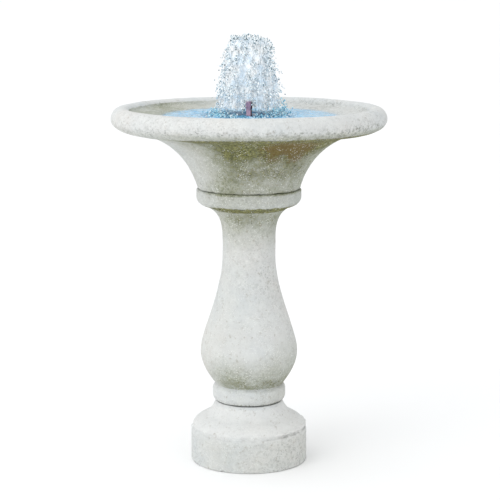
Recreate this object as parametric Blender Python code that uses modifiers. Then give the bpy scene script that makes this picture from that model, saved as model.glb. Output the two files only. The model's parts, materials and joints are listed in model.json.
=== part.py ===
"""Pedestal garden fountain with a submersible pump, as an assembly of separate pieces.

Three stone castings stand on each other: a plinth, a baluster column and a wide bowl.
The pump stands on suction cups in the bowl's well and feeds a copper riser with a spray cap.
The frame is +Z up in metres, with the origin on the floor under the middle of the plinth.
The pump's rotor axis runs along X, and its back, with the cord gland, faces -X.
"""

import math

import bmesh
import bpy
from mathutils import Matrix

# Driving dimensions: the castings.
RIM_RADIUS = 0.306
RIM_TOP = 0.805
RIM_MIDDLE = 0.780
BOWL_FOOT = 0.6245
BOWL_FOOT_RADIUS = 0.115
WELL_FLOOR = 0.655
WATER_LEVEL = 0.786
COLUMN_TOP = 0.6215
COLUMN_BOTTOM = 0.1405
COLLAR_RADIUS = 0.1175
NECK_RADIUS = 0.0594
BULB_RADIUS = 0.1093
BULB_HEIGHT = 0.252
FOOT_RING_RADIUS = 0.0825
FOOT_RING_TOP = 0.178
BASE_TOP = 0.1375
BASE_RADIUS = 0.1315
CORE_RADIUS = 0.030
SEAT_RADIUS = 0.0885
SEAT_DEPTH = 0.0215
KEY_RADIUS = 0.050
KEY_HEIGHT = 0.016
NOTCH_RADIUS = 0.009

# Driving dimensions: the pump, measured from the well's floor and from the rotor axis.
GAP = 0.0003
CUP_HEIGHT = 0.010
PUMP_HALF_WIDTH = 0.023
PUMP_HEIGHT = 0.057
PUMP_BOTTOM = WELL_FLOOR + CUP_HEIGHT
PUMP_TOP = PUMP_BOTTOM + PUMP_HEIGHT
HOUSING_BACK = -0.058
HOUSING_FRONT = -0.009
STRAINER_FRONT = 0.034
WALL = 0.002
AXIS_Z = PUMP_BOTTOM + 0.023
SHAFT_RADIUS = 0.00115
SHAFT_HOLE = 0.00140
ROTOR_RADIUS = 0.0062
ROTOR_WELL_RADIUS = 0.0072
ROTOR_WELL_WALL = 0.0015
ROTOR_WELL_BACK = -0.0475
IMPELLER_RADIUS = 0.0135
CHAMBER_RADIUS = 0.0155
VOLUTE_RADIUS = 0.019
VOLUTE_BACK = -0.0072
VOLUTE_FRONT = 0.009
INLET_RADIUS = 0.009
SPOUT_RADIUS = 0.0065
SPOUT_TOP = PUMP_TOP + 0.016
STOPPER_AT = (-0.020, 0.046)
STOPPER_RADIUS = 0.0107

# Driving dimensions: the riser and the water above it.
PIPE_RADIUS = 0.00635
PIPE_BORE = 0.0054
PIPE_BOTTOM = SPOUT_TOP + 0.003
PIPE_TOP = 0.808
CAP_RADIUS = 0.0073
CAP_TOP = 0.818
JET_TOP = 0.962

# How finely round shapes are cut.
CASTING_SIDES = 40
PLAIN_SIDES = 32
SMALL_SIDES = 20
TINY_SIDES = 12

PARTS = "pedestal_fountain"
HELPERS = "helpers"


# ---------------------------------------------------------------- materials

def material(name, colour, roughness, metallic=0.0):
    made = bpy.data.materials.new(name)
    made.use_nodes = True
    shader = made.node_tree.nodes["Principled BSDF"]
    shader.inputs["Base Color"].default_value = (*colour, 1.0)
    shader.inputs["Roughness"].default_value = roughness
    shader.inputs["Metallic"].default_value = metallic
    made.diffuse_color = (*colour, 1.0)
    return made


def make_materials():
    return {
        "stone": material("cast_stone", (0.62, 0.64, 0.60), 0.85),
        "foam": material("grey_foam", (0.10, 0.10, 0.10), 0.95),
        "rubber": material("black_rubber", (0.02, 0.02, 0.02), 0.75),
        "plastic": material("black_plastic", (0.03, 0.03, 0.035), 0.45),
        "hose": material("clear_hose", (0.70, 0.76, 0.76), 0.25),
        "copper": material("copper", (0.55, 0.28, 0.22), 0.35, 1.0),
        "winding": material("enamelled_copper", (0.50, 0.20, 0.08), 0.35, 1.0),
        "steel": material("steel", (0.45, 0.46, 0.48), 0.35, 1.0),
        "ceramic": material("ceramic", (0.85, 0.85, 0.82), 0.30),
        "ferrite": material("ferrite", (0.08, 0.08, 0.08), 0.50),
        "resin": material("potting_resin", (0.05, 0.05, 0.05), 0.30),
        "water": material("water", (0.70, 0.85, 0.93), 0.05),
    }


# ---------------------------------------------------------------- outlines

def arc(centre, radii, start, end, steps):
    """Points along an ellipse's arc, in degrees from outward (0) through upward (90)."""
    turn = [math.radians(start + (end - start) * i / steps) for i in range(steps + 1)]
    return [(centre[0] + radii[0] * math.cos(t), centre[1] + radii[1] * math.sin(t)) for t in turn]


def curve(start, handle_a, handle_b, end, steps):
    """Points along a cubic curve, from start to end."""
    points = []
    for i in range(steps + 1):
        t = i / steps
        weights = ((1 - t) ** 3, 3 * (1 - t) ** 2 * t, 3 * (1 - t) * t * t, t ** 3)
        controls = (start, handle_a, handle_b, end)
        points.append(tuple(sum(w * c[k] for w, c in zip(weights, controls)) for k in (0, 1)))
    return points


def without_repeats(points, nearest=0.0001):
    kept = [points[0]]
    for point in points[1:]:
        if math.dist(point, kept[-1]) > nearest:
            kept.append(point)
    return kept


# ---------------------------------------------------------------- building blocks

def add(name, mesh, finish, helper=False, location=(0, 0, 0), rotation=(0, 0, 0), parent=None):
    """Links a mesh as an object in the parts or the helpers collection."""
    obj = bpy.data.objects.new(name, mesh)
    bpy.data.collections[HELPERS if helper else PARTS].objects.link(obj)
    obj.location = location
    obj.rotation_euler = rotation
    if helper:
        obj.hide_render = True
        obj.display_type = "WIRE"
    else:
        mesh.materials.append(finish)
    if parent:
        hang(obj, parent)
    return obj


def hang(obj, parent):
    """Parents obj where it stands."""
    bpy.context.view_layer.update()
    obj.parent = parent
    obj.matrix_parent_inverse = parent.matrix_world.inverted()


def pivot(name, location, parent=None):
    """An empty on a joint's axis, which carries the pieces that move with it."""
    empty = bpy.data.objects.new(name, None)
    empty.empty_display_size = 0.02
    empty.location = location
    bpy.data.collections[PARTS].objects.link(empty)
    if parent:
        hang(empty, parent)
    return empty


ALONG_X = (0, math.pi / 2, 0)


def turned(name, outline, finish=None, sides=SMALL_SIDES, ring=False, **place):
    """A solid of revolution from (radius, height) pairs that run down its outer side. ring closes them."""
    points = without_repeats(outline)
    edges = [(i, i + 1) for i in range(len(points) - 1)]
    if ring:
        edges.append((len(points) - 1, 0))
    mesh = bpy.data.meshes.new(name)
    mesh.from_pydata([(radius, 0, height) for radius, height in points], edges, [])
    obj = add(name, mesh, finish, **place)
    screw = obj.modifiers.new("turn", "SCREW")
    screw.steps = screw.render_steps = sides
    screw.use_merge_vertices = True
    screw.merge_threshold = 0.00001
    screw.use_smooth_shade = True
    return obj


def tube(name, inner, outer, low, high, finish=None, **more):
    """A plain ring or pipe between two heights along its own axis."""
    outline = [(inner, high), (outer, high), (outer, low), (inner, low)]
    return turned(name, outline, finish, ring=True, **more)


def rod(name, radius, low, high, finish=None, **more):
    """A plain solid cylinder between two heights along its own axis."""
    return turned(name, [(0, high), (radius, high), (radius, low), (0, low)], finish, **more)


def block(name, low, high, finish=None, bevel=0.0, **more):
    """A box between two corners, with rounded edges if bevel is given."""
    middle = [(a + b) / 2 for a, b in zip(low, high)]
    size = [b - a for a, b in zip(low, high)]
    shape = bmesh.new()
    bmesh.ops.create_cube(shape, size=1.0)
    bmesh.ops.scale(shape, vec=size, verts=shape.verts)
    mesh = bpy.data.meshes.new(name)
    shape.to_mesh(mesh)
    shape.free()
    obj = add(name, mesh, finish, location=middle, **more)
    if bevel:
        rounding = obj.modifiers.new("round_edges", "BEVEL")
        rounding.width = bevel
        rounding.segments = 2
    return obj


def combine(obj, others, operation):
    for other in others:
        boolean = obj.modifiers.new(f"{operation.lower()}_{other.name}", "BOOLEAN")
        boolean.operation = operation
        boolean.object = other
    return obj


def cut(obj, *cutters):
    return combine(obj, cutters, "DIFFERENCE")


def join(obj, *others):
    return combine(obj, others, "UNION")


def grid_of_blocks(name, boxes):
    """Separate boxes in one helper mesh, given as (low, high) corners."""
    shape = bmesh.new()
    for low, high in boxes:
        made = bmesh.ops.create_cube(shape, size=1.0)["verts"]
        bmesh.ops.scale(shape, vec=[b - a for a, b in zip(low, high)], verts=made)
        bmesh.ops.translate(shape, vec=[(a + b) / 2 for a, b in zip(low, high)], verts=made)
    mesh = bpy.data.meshes.new(name)
    shape.to_mesh(mesh)
    shape.free()
    return add(name, mesh, None, helper=True)


# ---------------------------------------------------------------- stone castings

def bowl_outline():
    """From the middle of the well's floor, up the inside, over the rolled lip and down the flare."""
    crest = RIM_RADIUS - 0.025
    lip_height = 0.029
    inside = [
        (0, WELL_FLOOR),
        (0.088, WELL_FLOOR),
        *arc((0.088, WELL_FLOOR + 0.012), (0.012, 0.012), -90, -10, 2),
        *curve((0.104, 0.680), (0.116, 0.745), (0.150, 0.773), (0.195, 0.782), 5),
        *curve((0.195, 0.782), (0.222, 0.787), (0.245, 0.789), (0.259, 0.7915), 2),
        *curve((0.259, 0.7915), (0.266, 0.793), (0.266, RIM_TOP), (crest, RIM_TOP), 3),
    ]
    outside = [
        *arc((crest, RIM_MIDDLE), (RIM_RADIUS - crest, RIM_TOP - RIM_MIDDLE), 90, 0, 4),
        *arc((RIM_RADIUS - 0.048, RIM_MIDDLE), (0.048, lip_height), 0, -95, 5),
        *curve((0.250, 0.7505), (0.200, 0.743), (0.1375, 0.705), (BOWL_FOOT_RADIUS, BOWL_FOOT), 7),
    ]
    key = [
        (SEAT_RADIUS - 0.0025, BOWL_FOOT),
        (SEAT_RADIUS - 0.0030, BOWL_FOOT - 0.018),
        (0.070, BOWL_FOOT - 0.018),
        (0.070, BOWL_FOOT),
        (0, BOWL_FOOT),
    ]
    return inside + outside + key


def make_bowl(finish, carrier):
    bowl = turned("bowl", bowl_outline(), finish, CASTING_SIDES, parent=carrier)
    hole = turned(
        "bowl_drain_cutter",
        [
            (0, WELL_FLOOR + 0.004),
            (STOPPER_RADIUS + 0.0008, WELL_FLOOR + 0.004),
            (STOPPER_RADIUS - 0.0012, BOWL_FOOT - 0.004),
            (0, BOWL_FOOT - 0.004),
        ],
        sides=SMALL_SIDES,
        helper=True,
        location=(*STOPPER_AT, 0),
    )
    return cut(bowl, hole)


def column_outline():
    """Down the collar, neck, bulb and foot ring, then back up the cast-in core."""
    collar = [
        (SEAT_RADIUS, COLUMN_TOP),
        *arc((COLLAR_RADIUS - 0.004, COLUMN_TOP - 0.004), (0.004, 0.004), 90, 0, 2),
        *arc((COLLAR_RADIUS - 0.022, COLUMN_TOP - 0.015), (0.022, 0.021), 0, -80, 4),
    ]
    neck = [
        *curve((0.094, 0.584), (0.070, 0.572), (NECK_RADIUS, 0.552), (NECK_RADIUS, 0.515), 5),
        *curve((NECK_RADIUS, 0.478), (NECK_RADIUS, 0.385),
               (BULB_RADIUS, 0.300), (BULB_RADIUS, BULB_HEIGHT), 7),
        *curve((BULB_RADIUS, BULB_HEIGHT), (BULB_RADIUS, 0.225),
               (0.092, 0.198), (0.076, FOOT_RING_TOP), 5),
    ]
    foot = [
        *arc((FOOT_RING_RADIUS - 0.009, FOOT_RING_TOP - 0.012), (0.009, 0.010), 80, 0, 3),
        *arc((FOOT_RING_RADIUS - 0.008, COLUMN_BOTTOM + 0.015), (0.008, 0.015), 0, -90, 3),
    ]
    core = [
        (KEY_RADIUS + 0.0025, COLUMN_BOTTOM),
        (KEY_RADIUS + 0.0025, COLUMN_BOTTOM + KEY_HEIGHT + 0.001),
        (CORE_RADIUS, COLUMN_BOTTOM + KEY_HEIGHT + 0.001),
        (CORE_RADIUS, 0.575),
        (SEAT_RADIUS, COLUMN_TOP - SEAT_DEPTH),
    ]
    return collar + neck + foot + core


def base_outline():
    """The locating boss, the sloped shoulder and the drum, then the hollow under it."""
    hollow_radius = BASE_RADIUS - 0.027
    return [
        (CORE_RADIUS + 0.002, BASE_TOP + KEY_HEIGHT),
        (KEY_RADIUS, BASE_TOP + KEY_HEIGHT),
        (KEY_RADIUS, BASE_TOP),
        (0.0755, BASE_TOP),
        *curve((0.0755, BASE_TOP), (0.081, 0.126), (0.087, 0.114), (0.099, 0.107), 3),
        *curve((0.099, 0.107), (0.120, 0.098), (BASE_RADIUS, 0.090), (BASE_RADIUS, 0.072), 4),
        *arc((BASE_RADIUS - 0.003, 0.003), (0.003, 0.003), 0, -90, 2),
        (hollow_radius, 0),
        (hollow_radius - 0.006, 0.040),
        (CORE_RADIUS + 0.002, 0.046),
    ]


def make_base(finish):
    base = turned("base_plinth", base_outline(), finish, PLAIN_SIDES, ring=True)
    notch = rod(
        "cord_notch_cutter",
        NOTCH_RADIUS,
        -0.030,
        0.030,
        sides=TINY_SIDES,
        helper=True,
        location=(0, BASE_RADIUS - 0.012, 0.004),
        rotation=(math.pi / 2, 0, 0),
    )
    return cut(base, notch)


def make_gaskets(finish, on_base, on_column):
    """Foam rings that bed one casting on the next, set back from the seams."""
    tube("column_gasket", 0.056, 0.071, BASE_TOP + GAP, COLUMN_BOTTOM - GAP, finish,
         sides=PLAIN_SIDES, parent=on_base)
    tube("bowl_gasket", 0.092, 0.107, COLUMN_TOP + GAP, BOWL_FOOT - GAP, finish,
         sides=PLAIN_SIDES, parent=on_column)


def make_stopper(finish, carrier):
    """A tapered bung for the well's drain, with a lift tab and a hole that the pump's lead passes through."""
    head = WELL_FLOOR + GAP
    stopper = turned(
        "bowl_stopper",
        [
            (0.0035, head + 0.004),
            (STOPPER_RADIUS + 0.002, head + 0.004),
            (STOPPER_RADIUS + 0.003, head + 0.003),
            (STOPPER_RADIUS + 0.003, head),
            (STOPPER_RADIUS, head),
            (STOPPER_RADIUS - 0.0018, BOWL_FOOT + 0.001),
            (0.0035, BOWL_FOOT + 0.001),
        ],
        finish,
        ring=True,
        location=(*STOPPER_AT, 0),
        parent=carrier,
    )
    x, y = STOPPER_AT
    tab = block("stopper_tab_joiner", (x - 0.0105, y - 0.005, head + 0.001),
                (x - 0.0075, y + 0.005, head + 0.013), helper=True)
    return join(stopper, tab)


# ---------------------------------------------------------------- pump motor

def make_housing(finish, pump):
    """The motor body: a shell open at the back, with a blind rotor well through its middle."""
    side = PUMP_HALF_WIDTH
    housing = block("pump_housing", (HOUSING_BACK, -side, PUMP_BOTTOM), (HOUSING_FRONT, side, PUMP_TOP),
                    finish, bevel=0.003, parent=pump)
    inside = side - WALL - 0.0006
    cavity = block("housing_cavity_cutter", (HOUSING_BACK - 0.01, -inside, PUMP_BOTTOM + 0.003),
                   (HOUSING_FRONT - WALL, inside, PUMP_TOP - WALL), helper=True)
    along = {"helper": True, "location": (0, 0, AXIS_Z), "rotation": ALONG_X}
    well = rod("rotor_well_joiner", ROTOR_WELL_RADIUS + ROTOR_WELL_WALL, ROTOR_WELL_BACK,
               HOUSING_FRONT - 0.0007, **along)
    bore = rod("rotor_well_cutter", ROTOR_WELL_RADIUS, ROTOR_WELL_BACK + ROTOR_WELL_WALL, 0, **along)
    cut(housing, cavity)
    join(housing, well)
    cut(housing, bore)
    for number, (x, y) in enumerate(cup_places(), 1):
        hole = rod(f"cup_hole_cutter_{number}", 0.0028, PUMP_BOTTOM - 0.002, PUMP_BOTTOM + 0.0022,
                   sides=TINY_SIDES, helper=True, location=(x, y, 0))
        cut(housing, hole)
    return housing


def cup_places():
    return [(x, y) for x in (HOUSING_BACK + 0.010, HOUSING_FRONT - 0.009) for y in (-0.0145, 0.0145)]


def make_cups(finish, pump):
    """Four suction cups, each with a stem in the housing's floor."""
    floor = WELL_FLOOR + GAP
    for number, (x, y) in enumerate(cup_places(), 1):
        outline = [
            (0, PUMP_BOTTOM + 0.0018),
            (0.0025, PUMP_BOTTOM + 0.0018),
            (0.0025, PUMP_BOTTOM - 0.0003),
            (0.0045, PUMP_BOTTOM - 0.0003),
            (0.0045, PUMP_BOTTOM - 0.0020),
            (0.0030, PUMP_BOTTOM - 0.0030),
            (0.0052, PUMP_BOTTOM - 0.0050),
            (0.0085, floor + 0.0006),
            (0.0085, floor),
            (0.0070, floor + 0.0010),
            (0, floor + 0.0028),
        ]
        turned(f"suction_cup_{number}", outline, finish, TINY_SIDES, location=(x, y, 0), parent=pump)


CORE_BACK, CORE_FRONT = -0.040, -0.022
LIMB_INNER, LIMB_OUTER = 0.0075, 0.0120
LIMB_FOOT = AXIS_Z - 0.009
YOKE_TOP = PUMP_TOP - 0.0032
YOKE_DEPTH = 0.0045
COIL_LOW = AXIS_Z + 0.0094
COIL_HIGH = YOKE_TOP - YOKE_DEPTH - GAP
FLANGE = 0.0010
BOBBIN_WALL = 0.0008


def make_core(finish, pump):
    """The laminated U core: a yoke on top and two limbs whose feet embrace the rotor well."""
    core = block("stator_core", (CORE_BACK, -LIMB_OUTER, YOKE_TOP - YOKE_DEPTH),
                 (CORE_FRONT, LIMB_OUTER, YOKE_TOP), finish, parent=pump)
    limbs = []
    for label, sign in (("left", 1), ("right", -1)):
        across = sorted((sign * LIMB_INNER, sign * LIMB_OUTER))
        limbs.append(block(f"core_limb_joiner_{label}", (CORE_BACK, across[0], LIMB_FOOT),
                           (CORE_FRONT, across[1], YOKE_TOP - 0.001), helper=True))
        pole = sorted((sign * 0.0055, sign * 0.0150))
        limbs.append(block(f"core_pole_joiner_{label}", (CORE_BACK, pole[0], LIMB_FOOT - 0.001),
                           (CORE_FRONT, pole[1], COIL_LOW - GAP), helper=True))
    clearance = rod("core_bore_cutter", ROTOR_WELL_RADIUS + ROTOR_WELL_WALL + 0.0004, CORE_BACK - 0.01,
                    CORE_FRONT + 0.01, helper=True, location=(0, 0, AXIS_Z), rotation=ALONG_X)
    join(core, *limbs)
    return cut(core, clearance)


def make_coils(bobbin_finish, wire_finish, pump):
    """A bobbin and its winding on each limb of the core."""
    middle_x = (CORE_BACK + CORE_FRONT) / 2
    half_x = (CORE_FRONT - CORE_BACK) / 2
    half_y = (LIMB_OUTER - LIMB_INNER) / 2
    wind = 0.0034
    for label, sign in (("left", 1), ("right", -1)):
        middle_y = sign * (LIMB_INNER + LIMB_OUTER) / 2

        def around(name, grow, low, high, finish=None, **more):
            return block(
                name,
                (middle_x - half_x - grow, middle_y - half_y - grow, low),
                (middle_x + half_x + grow, middle_y + half_y + grow, high),
                finish,
                **more,
            )

        sleeve = GAP + BOBBIN_WALL
        rim = sleeve + wind
        below, above = COIL_LOW - 0.002, COIL_HIGH + 0.002
        bobbin = around(f"coil_bobbin_{label}", sleeve, COIL_LOW, COIL_HIGH, bobbin_finish, parent=pump)
        low = around(f"flange_low_joiner_{label}", rim, COIL_LOW, COIL_LOW + FLANGE, helper=True)
        high = around(f"flange_high_joiner_{label}", rim, COIL_HIGH - FLANGE, COIL_HIGH, helper=True)
        slot = around(f"bobbin_slot_cutter_{label}", GAP, below, above, helper=True)
        join(bobbin, low, high)
        cut(bobbin, slot)
        winding = around(f"stator_coil_{label}", rim - GAP, COIL_LOW + FLANGE + GAP,
                         COIL_HIGH - FLANGE - GAP, wire_finish, bevel=0.0008, parent=pump)
        hollow = around(f"winding_cutter_{label}", sleeve + GAP, below, above, helper=True)
        cut(winding, hollow)


GLAND_AT = (HOUSING_BACK, 0.0, PUMP_BOTTOM + 0.0095)


def make_back(resin, rubber, pump):
    """The resin that seals the motor's open back, and the gland that the lead would leave by."""
    inside = PUMP_HALF_WIDTH - WALL - 0.0009
    seal = block("potting_resin", (HOUSING_BACK + GAP, -inside, PUMP_BOTTOM + 0.0033),
                 (HOUSING_BACK + 0.005, inside, PUMP_TOP - WALL - GAP), resin, bevel=0.0006, parent=pump)
    hole = rod("gland_hole_cutter", 0.0042, -0.01, 0.01, helper=True, sides=TINY_SIDES,
               location=GLAND_AT, rotation=ALONG_X)
    cut(seal, hole)
    turned(
        "cord_gland",
        [
            (0.0026, 0.0065),
            (0.0038, 0.0065),
            (0.0038, 0.0),
            (0.0060, 0.0),
            (0.0060, -0.0015),
            (0.0052, -0.0025),
            (0.0042, -0.0100),
            (0.0026, -0.0100),
        ],
        rubber,
        TINY_SIDES,
        ring=True,
        location=GLAND_AT,
        rotation=ALONG_X,
        parent=pump,
    )


# ---------------------------------------------------------------- pump wet end

def along_axis(parent):
    return {"location": (0, 0, AXIS_Z), "rotation": ALONG_X, "parent": parent}


def blade(name, low, high, turn):
    """A helper box given from the rotor axis, and turned about it."""
    made = block(name, low, high, helper=True)
    made.data.transform(Matrix.Translation(made.location))
    made.location = (0, 0, AXIS_Z)
    made.rotation_euler = (turn, 0, 0)
    return made


def make_rotor(finishes, pump, rotor):
    """The magnet and the impeller turn on a fixed ceramic shaft that two bushes hold."""
    magnet, ceramic = finishes["ferrite"], finishes["ceramic"]
    plastic, rubber = finishes["plastic"], finishes["rubber"]
    magnet_back, magnet_front = -0.0415, -0.0160
    shaft_back = ROTOR_WELL_BACK + ROTOR_WELL_WALL + 0.0006
    tube("rotor_magnet", SHAFT_HOLE, ROTOR_RADIUS, magnet_back, magnet_front, magnet, **along_axis(rotor))
    impeller = turned(
        "impeller",
        [
            (SHAFT_HOLE, 0.0010),
            (0.0036, 0.0010),
            (0.0042, -0.0010),
            (0.0042, -0.0070),
            (0.0058, -0.0085),
            (0.0058, magnet_front + GAP),
            (SHAFT_HOLE, magnet_front + GAP),
        ],
        plastic,
        ring=True,
        **along_axis(rotor),
    )
    vanes = 6
    for number in range(vanes):
        vane = blade(f"vane_joiner_{number + 1}", (-0.0058, 0.0030, -0.0006), (0.0, IMPELLER_RADIUS, 0.0006),
                     2 * math.pi * number / vanes)
        join(impeller, vane)
    rod("impeller_shaft", SHAFT_RADIUS, shaft_back, 0.0068, ceramic, sides=TINY_SIDES, **along_axis(pump))
    tube("shaft_bush_rear", SHAFT_HOLE, ROTOR_WELL_RADIUS - GAP, shaft_back, magnet_back - 0.001,
         rubber, **along_axis(pump))
    tube("shaft_bush_front", SHAFT_HOLE, 0.0032, 0.0020, 0.0072,
         rubber, sides=TINY_SIDES, **along_axis(pump))


def make_volute(plastic, rubber, pump):
    """The impeller chamber, with a spider for the front bush in its inlet and the outlet spout on top."""
    front_wall = 0.0035
    volute = turned(
        "volute_cover",
        [
            (INLET_RADIUS, VOLUTE_FRONT),
            (VOLUTE_RADIUS - 0.0015, VOLUTE_FRONT),
            (VOLUTE_RADIUS, VOLUTE_FRONT - 0.0015),
            (VOLUTE_RADIUS, VOLUTE_BACK),
            (CHAMBER_RADIUS, VOLUTE_BACK),
            (CHAMBER_RADIUS, VOLUTE_FRONT - front_wall),
            (INLET_RADIUS, VOLUTE_FRONT - front_wall),
        ],
        plastic,
        sides=24,
        ring=True,
        **along_axis(pump),
    )
    hub = rod("spider_hub_joiner", 0.0048, 0.0018, 0.0084, helper=True,
              location=(0, 0, AXIS_Z), rotation=ALONG_X)
    join(volute, hub)
    for number in range(3):
        spoke = blade(f"spider_spoke_joiner_{number + 1}", (0.0058, 0.0040, -0.0008),
                      (0.0082, 0.0105, 0.0008), 2 * math.pi * number / 3 + math.pi / 2)
        join(volute, spoke)
    bush_seat = rod("spider_bore_cutter", 0.0035, 0.0, 0.0090, helper=True,
                    location=(0, 0, AXIS_Z), rotation=ALONG_X)
    spout = rod("spout_joiner", SPOUT_RADIUS, AXIS_Z + CHAMBER_RADIUS + 0.0005, SPOUT_TOP, helper=True)
    spout_bore = rod("spout_cutter", SPOUT_RADIUS - 0.0020, AXIS_Z + 0.010, SPOUT_TOP + 0.004, helper=True,
                     sides=TINY_SIDES)
    cut(volute, bush_seat)
    join(volute, spout)
    cut(volute, spout_bore)
    ring_at = (HOUSING_FRONT + VOLUTE_BACK) / 2
    section = arc((VOLUTE_RADIUS - 0.0017, ring_at), (0.0006, 0.0006), 180, -120, 5)
    turned("volute_seal", section, rubber, ring=True, **along_axis(pump))


def make_strainer(plastic, foam, carrier):
    """The slotted intake cover, which pulls off forwards, and the foam block inside it."""
    side = PUMP_HALF_WIDTH
    back = HOUSING_FRONT + GAP
    strainer = block("strainer_cover", (back, -side, PUMP_BOTTOM), (STRAINER_FRONT, side, PUMP_TOP),
                     plastic, bevel=0.003, parent=carrier)
    hollow = block("strainer_hollow_cutter", (back - 0.01, -side + WALL, PUMP_BOTTOM + WALL),
                   (STRAINER_FRONT - WALL, side - WALL, PUMP_TOP - WALL), helper=True)
    spout_slot = block("spout_slot_cutter", (back - 0.01, -SPOUT_RADIUS - 0.001, PUMP_TOP - 0.006),
                       (SPOUT_RADIUS + 0.0012, SPOUT_RADIUS + 0.001, PUMP_TOP + 0.006), helper=True)
    dial_hole = rod("dial_hole_cutter", 0.0036, STRAINER_FRONT - 0.006, STRAINER_FRONT + 0.006, helper=True,
                    sides=TINY_SIDES, location=(0, 0, AXIS_Z), rotation=ALONG_X)
    slot_half, low, high = 0.0011, PUMP_BOTTOM + 0.008, PUMP_TOP - 0.008
    beside = [-0.0175, -0.0135, 0.0135, 0.0175]
    front_slots = [
        ((STRAINER_FRONT - 0.006, y - slot_half, low), (STRAINER_FRONT + 0.006, y + slot_half, high))
        for y in beside
    ]
    side_slots = []
    for column in range(6):
        x = 0.002 + 0.0052 * column
        side_slots.append(((x - slot_half, -side - 0.006, low), (x + slot_half, side + 0.006, high)))
    cut(strainer, hollow, spout_slot, dial_hole)
    cut(strainer, grid_of_blocks("front_slots_cutter", front_slots))
    cut(strainer, grid_of_blocks("side_slots_cutter", side_slots))
    block("filter_foam", (VOLUTE_FRONT + 0.001, -side + WALL + 0.0005, PUMP_BOTTOM + WALL + 0.0005),
          (0.0275, side - WALL - 0.0005, PUMP_TOP - WALL - 0.0005), foam, parent=carrier)


def make_dial(plastic, dial):
    """The flow regulator: a ribbed knob outside the strainer and a shutter inside it."""
    knob_back = STRAINER_FRONT + GAP
    knob = turned(
        "flow_dial",
        [
            (0, knob_back + 0.0045),
            (0.0085, knob_back + 0.0045),
            (0.0095, knob_back + 0.0035),
            (0.0095, knob_back),
            (0.0030, knob_back),
            (0.0030, STRAINER_FRONT - WALL - 0.0006),
            (0.0115, STRAINER_FRONT - WALL - 0.0006),
            (0.0115, STRAINER_FRONT - WALL - 0.0022),
            (0, STRAINER_FRONT - WALL - 0.0022),
        ],
        plastic,
        **along_axis(dial),
    )
    grip = block("dial_grip_joiner", (knob_back + 0.002, -0.0011, AXIS_Z - 0.0080),
                 (knob_back + 0.0085, 0.0011, AXIS_Z + 0.0080), helper=True)
    return join(knob, grip)


# ---------------------------------------------------------------- riser and water

def make_riser(finishes, pump, nozzle):
    """A soft coupling with two clamps joins the spout to the copper riser, which ends in a spray cap."""
    coupling_low, coupling_high = PUMP_TOP + 0.0008, PIPE_BOTTOM + 0.019
    coupling_radius = 0.0088
    tube("outlet_coupling", SPOUT_RADIUS + 0.0002, coupling_radius, coupling_low, coupling_high,
         finishes["hose"], parent=pump)
    for label, height in (("lower", coupling_low + 0.006), ("upper", coupling_high - 0.006)):
        clamp = tube(f"hose_clamp_{label}", coupling_radius + GAP, coupling_radius + 0.0013, height - 0.003,
                     height + 0.003, finishes["steel"], parent=pump)
        ear = block(f"clamp_ear_joiner_{label}", (-0.0035, coupling_radius + 0.0008, height - 0.0026),
                    (0.0035, coupling_radius + 0.0052, height + 0.0026), helper=True)
        join(clamp, ear)
    tube("riser_pipe", PIPE_BORE, PIPE_RADIUS, PIPE_BOTTOM, PIPE_TOP, finishes["copper"], parent=pump)
    tube("nozzle_washer", PIPE_BORE, PIPE_RADIUS - 0.0001, PIPE_TOP + GAP, PIPE_TOP + 0.0013,
         finishes["rubber"], parent=nozzle)
    inner = PIPE_RADIUS + 0.00025
    cap = turned(
        "nozzle_cap",
        [
            (0, CAP_TOP),
            (0.0035, CAP_TOP),
            (0.0062, CAP_TOP - 0.0015),
            (CAP_RADIUS, CAP_TOP - 0.0045),
            (CAP_RADIUS, PIPE_TOP - 0.008),
            (inner, PIPE_TOP - 0.008),
            (inner, PIPE_TOP + 0.0016),
            (0.0052, PIPE_TOP + 0.0016),
            (0.0052, CAP_TOP - 0.0040),
            (0, CAP_TOP - 0.0025),
        ],
        finishes["copper"],
        sides=16,
        parent=nozzle,
    )
    jets = 6
    for number in range(jets):
        turn = 2 * math.pi * number / jets
        hole = rod(f"jet_hole_cutter_{number + 1}", 0.0008, CAP_TOP - 0.010, CAP_TOP + 0.004,
                   helper=True, sides=6, location=(0.0036 * math.cos(turn), 0.0036 * math.sin(turn), 0))
        cut(cap, hole)
    return cap


def make_plume(finish, nozzle):
    """The standing jet as a thin bell: it narrows upwards and is open at both ends."""
    wall = 0.0010
    foot = WATER_LEVEL + 0.001
    outer = curve((0.040, JET_TOP), (0.060, 0.900), (0.069, 0.845), (0.080, foot), 5)
    inner = [(radius - wall, height) for radius, height in reversed(outer)]
    turned("water_plume", outer + inner, finish, ring=True, parent=nozzle)


# ---------------------------------------------------------------- assembly

def clear_scene():
    for obj in list(bpy.data.objects):
        bpy.data.objects.remove(obj)
    for name in (PARTS, HELPERS):
        bpy.context.scene.collection.children.link(bpy.data.collections.new(name))


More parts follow.
